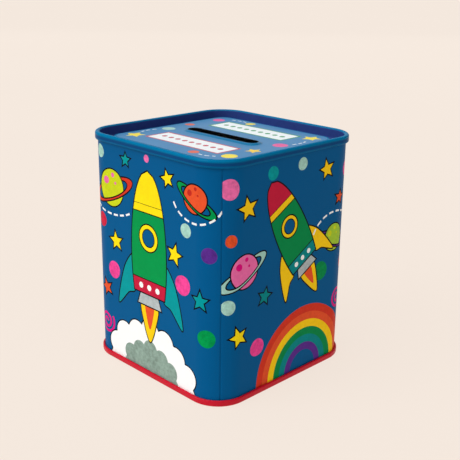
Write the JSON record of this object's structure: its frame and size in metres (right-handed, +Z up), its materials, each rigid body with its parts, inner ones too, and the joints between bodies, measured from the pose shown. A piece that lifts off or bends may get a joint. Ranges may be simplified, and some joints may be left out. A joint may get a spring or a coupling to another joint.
{
  "type": "money box",
  "caption": "Square tinplate money box with rounded corners, a sunk top panel with a coin slot, printed space artwork and a pull-out plug in the base.",
  "frame": {"origin": "middle of the footprint, on the surface that the base rim stands on", "axes": "+Z up through the middle of the box, +X along the coin slot, -Y towards the front face with the upright rocket"},
  "size_m": [0.0874, 0.0874, 0.105],
  "materials": {
    "printed_sleeve": "printed tinplate under clear gloss varnish",
    "printed_top": "printed tinplate under clear gloss varnish",
    "base_lacquer": "red gloss lacquer on tinplate",
    "plug_plastic": "soft natural white plastic, satin"
  },
  "bodies": {
    "tin": {"body_wrapper": "printed_sleeve", "top_panel": "printed_top", "base_panel": "base_lacquer"},
    "stopper": {"stopper": "plug_plastic"}
  },
  "joints": [
    {"name": "stopper_pull", "type": "slide", "parent": "tin", "child": "stopper", "axis": [0, 0, -1], "range_m": [0, 0.02]}
  ]
}
